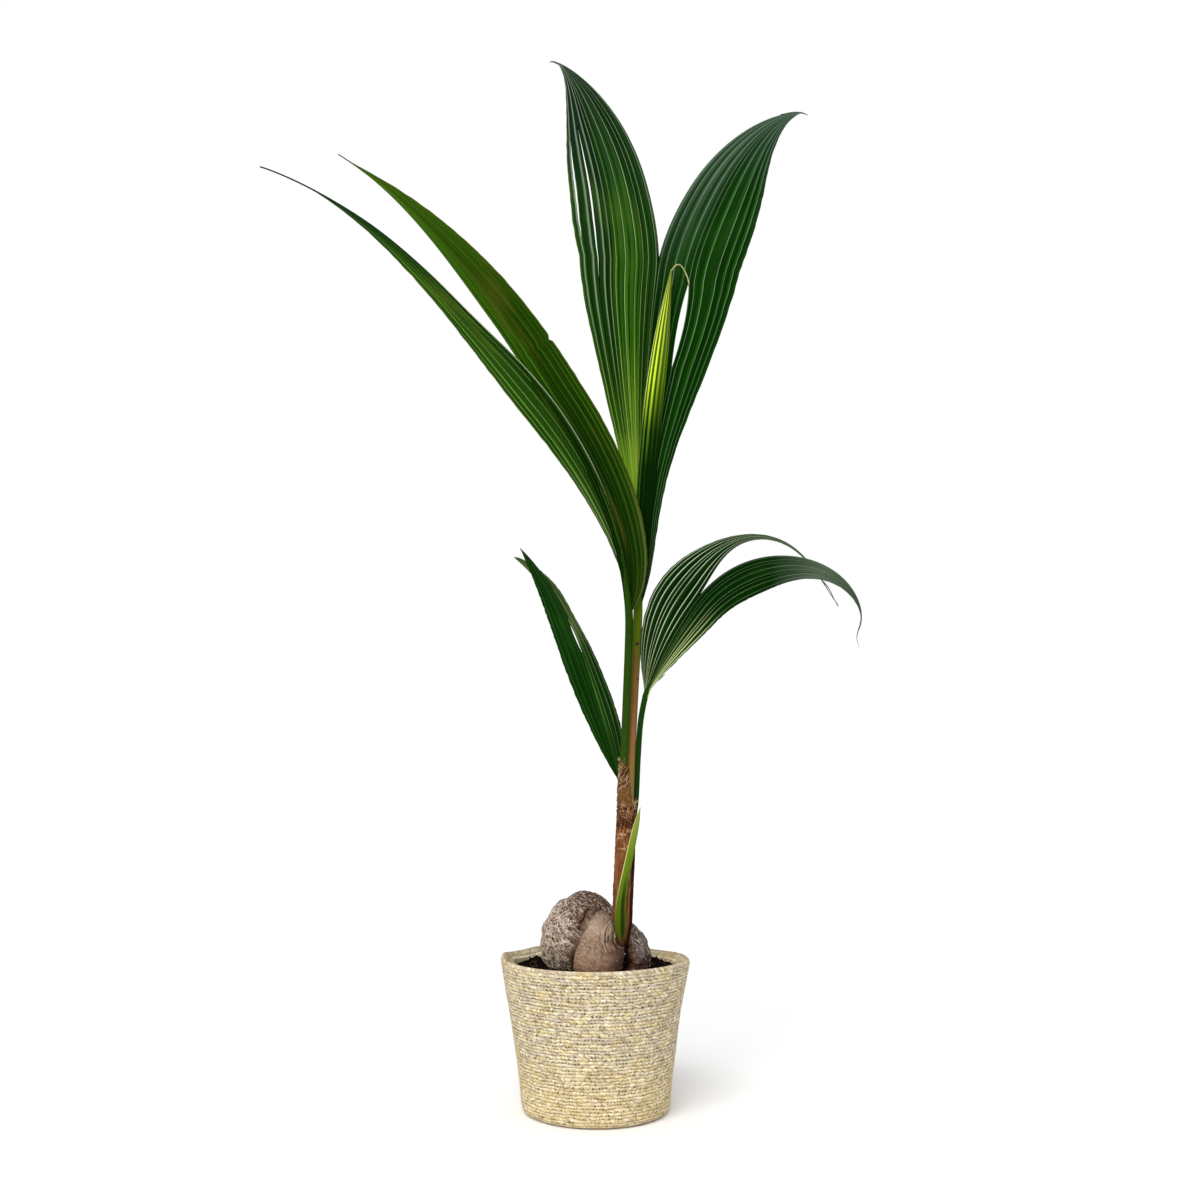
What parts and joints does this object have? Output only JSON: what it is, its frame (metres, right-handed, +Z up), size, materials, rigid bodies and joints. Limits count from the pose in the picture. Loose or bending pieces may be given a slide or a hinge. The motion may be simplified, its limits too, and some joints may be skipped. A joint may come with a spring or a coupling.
{
  "type": "potted coconut palm",
  "caption": "Young coconut palm grown from a half-sunk husked nut in a coiled seagrass basket of soil, with pleated split leaves on slim stalks; a living house plant that stands on the floor.",
  "frame": {"origin": "centre of the basket's flat underside, on the surface that the plant stands on", "axes": "+Z up, +X to the right of the picture, -Y towards the viewer"},
  "size_m": [0.6397, 0.3535, 1.2862],
  "materials": {
    "seagrass": "matte",
    "soil": "matte",
    "husk": "matte",
    "fibre_sheath": "matte",
    "young_leaf": "satin",
    "leaf_stalk": "satin",
    "leaf_blade": "satin",
    "dark_leaf_blade": "satin"
  },
  "bodies": {
    "root": {"basket": "seagrass", "soil": "soil", "nut": "husk", "stem": "fibre_sheath", "first_leaf": "young_leaf", "spear_leaf": "young_leaf", "front_leaf_stalk": "leaf_stalk", "front_leaf_outer_blade": "leaf_blade", "front_leaf_inner_blade": "leaf_blade", "tall_leaf_stalk": "leaf_stalk", "tall_leaf_left_blade": "leaf_blade", "tall_leaf_right_blade": "leaf_blade", "arching_leaf_stalk": "leaf_stalk", "arching_leaf_rear_blade_rise": "dark_leaf_blade", "arching_leaf_rear_blade_fall": "dark_leaf_blade", "arching_leaf_front_blade_rise": "dark_leaf_blade", "arching_leaf_front_blade_fall": "dark_leaf_blade", "low_leaf_stalk": "leaf_stalk", "low_leaf_front_blade": "dark_leaf_blade", "low_leaf_rear_blade": "dark_leaf_blade"}
  },
  "joints": []
}
